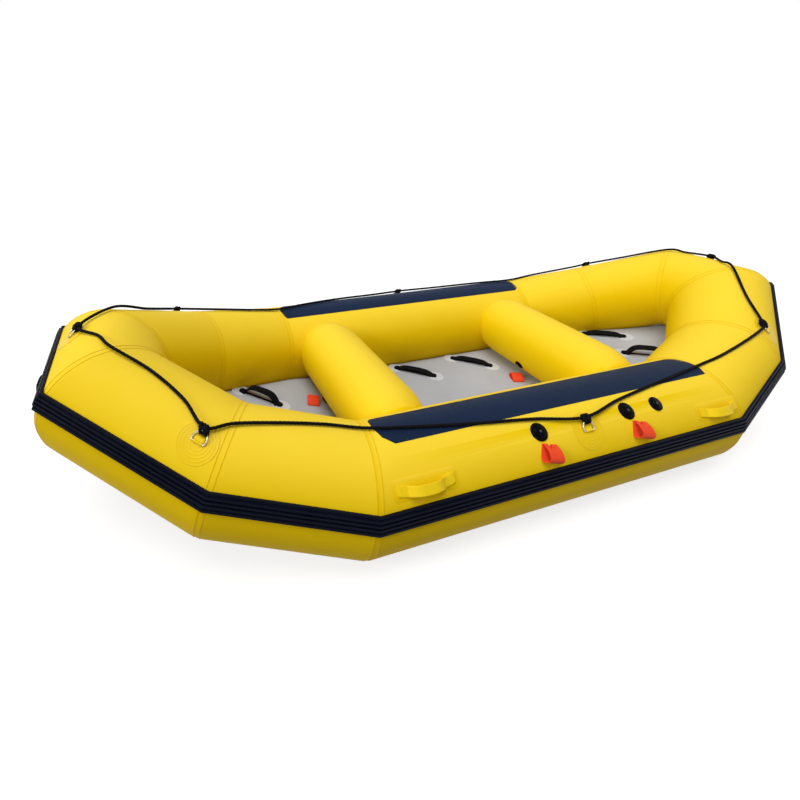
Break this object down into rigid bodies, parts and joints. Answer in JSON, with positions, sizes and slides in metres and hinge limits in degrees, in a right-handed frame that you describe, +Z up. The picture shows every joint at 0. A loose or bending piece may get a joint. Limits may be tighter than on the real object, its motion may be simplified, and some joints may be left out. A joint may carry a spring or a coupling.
{
  "type": "inflatable raft",
  "caption": "Inflatable river raft with upswept ends, two cross seats, an inflatable floor, grab line, rings, handles and valves.",
  "frame": {"origin": "on the ground under the middle of the raft, at the centre of its outline", "axes": "+X towards the stern, +Y to starboard, +Z up; -Y is the side with the hull valves"},
  "size_m": [3.9204, 1.6602, 0.7574],
  "materials": {
    "hull_fabric": "glossy coated fabric",
    "pad_fabric": "satin coated fabric",
    "strake_rubber": "satin ribbed rubber",
    "floor_fabric": "matt coated drop-stitch fabric",
    "valve_plastic": "satin moulded plastic",
    "steel": "polished stainless steel",
    "webbing": "woven nylon webbing",
    "orange_strap": "satin coated strap",
    "rope": "laid rope"
  },
  "bodies": {
    "hull": {"bow_tube": "hull_fabric", "starboard_side_tube": "hull_fabric", "stern_tube": "hull_fabric", "port_side_tube": "hull_fabric", "port_baffle": "hull_fabric", "starboard_baffle": "hull_fabric", "rub_strake": "strake_rubber", "port_wear_pad": "pad_fabric", "starboard_wear_pad": "pad_fabric", "inflatable_floor": "floor_fabric", "bow_seat": "hull_fabric", "bow_seat_valve_body": "valve_plastic", "stern_seat": "hull_fabric", "stern_seat_valve_body": "valve_plastic", "bow_valve_body": "valve_plastic", "bow_valve_spring": "steel", "stern_valve_body": "valve_plastic", "stern_valve_spring": "steel", "floor_valve_body": "valve_plastic", "relief_valve_body": "valve_plastic", "bow_ring_patch": "hull_fabric", "bow_port_ring_patch": "hull_fabric", "port_ring_patch": "hull_fabric", "stern_port_ring_patch": "hull_fabric", "stern_ring_patch": "hull_fabric", "stern_starboard_ring_patch": "hull_fabric", "starboard_ring_patch": "hull_fabric", "bow_starboard_ring_patch": "hull_fabric", "bow_port_carry_handle": "hull_fabric", "stern_port_carry_handle": "hull_fabric", "bow_starboard_carry_handle": "hull_fabric", "stern_starboard_carry_handle": "hull_fabric", "bow_carry_handle": "webbing", "stern_carry_handle": "webbing", "bow_floor_handle": "webbing", "middle_bow_floor_handle": "webbing", "middle_stern_floor_handle": "webbing", "stern_port_floor_handle": "webbing", "stern_starboard_floor_handle": "webbing", "bow_side_loop": "orange_strap", "stern_side_loop": "orange_strap", "bow_floor_loop": "orange_strap", "stern_floor_loop": "orange_strap", "grab_line": "rope"},
    "bow_ring": {"bow_d_ring": "steel"},
    "bow_port_ring": {"bow_port_d_ring": "steel"},
    "port_ring": {"port_d_ring": "steel"},
    "stern_port_ring": {"stern_port_d_ring": "steel"},
    "stern_ring": {"stern_d_ring": "steel"},
    "stern_starboard_ring": {"stern_starboard_d_ring": "steel"},
    "starboard_ring": {"starboard_d_ring": "steel"},
    "bow_starboard_ring": {"bow_starboard_d_ring": "steel"},
    "bow_valve_lid": {"bow_valve_cap": "valve_plastic"},
    "stern_valve_lid": {"stern_valve_cap": "valve_plastic"},
    "floor_valve_lid": {"floor_valve_cap": "valve_plastic"},
    "bow_seat_valve_lid": {"bow_seat_valve_cap": "valve_plastic"},
    "stern_seat_valve_lid": {"stern_seat_valve_cap": "valve_plastic"},
    "bow_valve_stem": {"bow_valve_plunger": "valve_plastic"},
    "stern_valve_stem": {"stern_valve_plunger": "valve_plastic"},
    "relief_disc": {"relief_valve_disc": "valve_plastic"}
  },
  "joints": [
    {"name": "bow_ring_hinge", "type": "hinge", "parent": "hull", "child": "bow_ring", "pos_m": [-1.82899, 0.05117, 0.70464], "axis": [0, -1, 0], "range_deg": [0, 30], "deforming": ["grab_line"]},
    {"name": "bow_port_ring_hinge", "type": "hinge", "parent": "hull", "child": "bow_port_ring", "pos_m": [-1.41171, -0.54497, 0.53943], "axis": [0.7469, -0.5678, -0.3461], "range_deg": [0, 30], "deforming": ["grab_line"]},
    {"name": "port_ring_hinge", "type": "hinge", "parent": "hull", "child": "port_ring", "pos_m": [0.04045, -0.75509, 0.40407], "axis": [1, 0, 0], "range_deg": [0, 30], "deforming": ["grab_line"]},
    {"name": "stern_port_ring_hinge", "type": "hinge", "parent": "hull", "child": "stern_port_ring", "pos_m": [1.42564, -0.5428, 0.53864], "axis": [0.7469, 0.5678, 0.3461], "range_deg": [0, 30], "deforming": ["grab_line"]},
    {"name": "stern_ring_hinge", "type": "hinge", "parent": "hull", "child": "stern_ring", "pos_m": [1.80915, 0, 0.71636], "axis": [0, 1, 0], "range_deg": [0, 30], "deforming": ["grab_line"]},
    {"name": "stern_starboard_ring_hinge", "type": "hinge", "parent": "hull", "child": "stern_starboard_ring", "pos_m": [1.42564, 0.5428, 0.53864], "axis": [-0.7469, 0.5678, -0.3461], "range_deg": [0, 30], "deforming": ["grab_line"]},
    {"name": "starboard_ring_hinge", "type": "hinge", "parent": "hull", "child": "starboard_ring", "pos_m": [0.04045, 0.75509, 0.40407], "axis": [-1, 0, 0], "range_deg": [0, 30], "deforming": ["grab_line"]},
    {"name": "bow_starboard_ring_hinge", "type": "hinge", "parent": "hull", "child": "bow_starboard_ring", "pos_m": [-1.41171, 0.54497, 0.53943], "axis": [-0.7469, -0.5678, 0.3461], "range_deg": [0, 30], "deforming": ["grab_line"]},
    {"name": "bow_valve_cap_hinge", "type": "hinge", "parent": "hull", "child": "bow_valve_lid", "pos_m": [-0.20901, -0.72818, 0.43093], "axis": [0, -0.809, -0.5878], "range_deg": [0, 120]},
    {"name": "stern_valve_cap_hinge", "type": "hinge", "parent": "hull", "child": "stern_valve_lid", "pos_m": [0.23325, -0.72818, 0.43093], "axis": [0, -0.809, -0.5878], "range_deg": [0, 120]},
    {"name": "floor_valve_cap_hinge", "type": "hinge", "parent": "hull", "child": "floor_valve_lid", "pos_m": [0, -0.2045, 0.1318], "axis": [-1, 0, 0], "range_deg": [0, 120]},
    {"name": "bow_seat_valve_cap_hinge", "type": "hinge", "parent": "hull", "child": "bow_seat_valve_lid", "pos_m": [-0.74094, 0.05196, 0.19497], "axis": [0.5556, 0, -0.8315], "range_deg": [0, 120]},
    {"name": "stern_seat_valve_cap_hinge", "type": "hinge", "parent": "hull", "child": "stern_seat_valve_lid", "pos_m": [0.44906, 0.05196, 0.19497], "axis": [0.5556, 0, -0.8315], "range_deg": [0, 120]},
    {"name": "bow_valve_push", "type": "slide", "parent": "hull", "child": "bow_valve_stem", "axis": [0, 0.5878, -0.809], "range_m": [0, 0.005], "stiffness_N_per_m": 200, "springref_m": -0.003, "deforming": ["bow_valve_spring"]},
    {"name": "stern_valve_push", "type": "slide", "parent": "hull", "child": "stern_valve_stem", "axis": [0, 0.5878, -0.809], "range_m": [0, 0.005], "stiffness_N_per_m": 200, "springref_m": -0.003, "deforming": ["stern_valve_spring"]},
    {"name": "relief_lift", "type": "slide", "parent": "hull", "child": "relief_disc", "axis": [0, -0.5878, 0.809], "range_m": [0, 0.003], "stiffness_N_per_m": 400, "springref_m": -0.002}
  ]
}
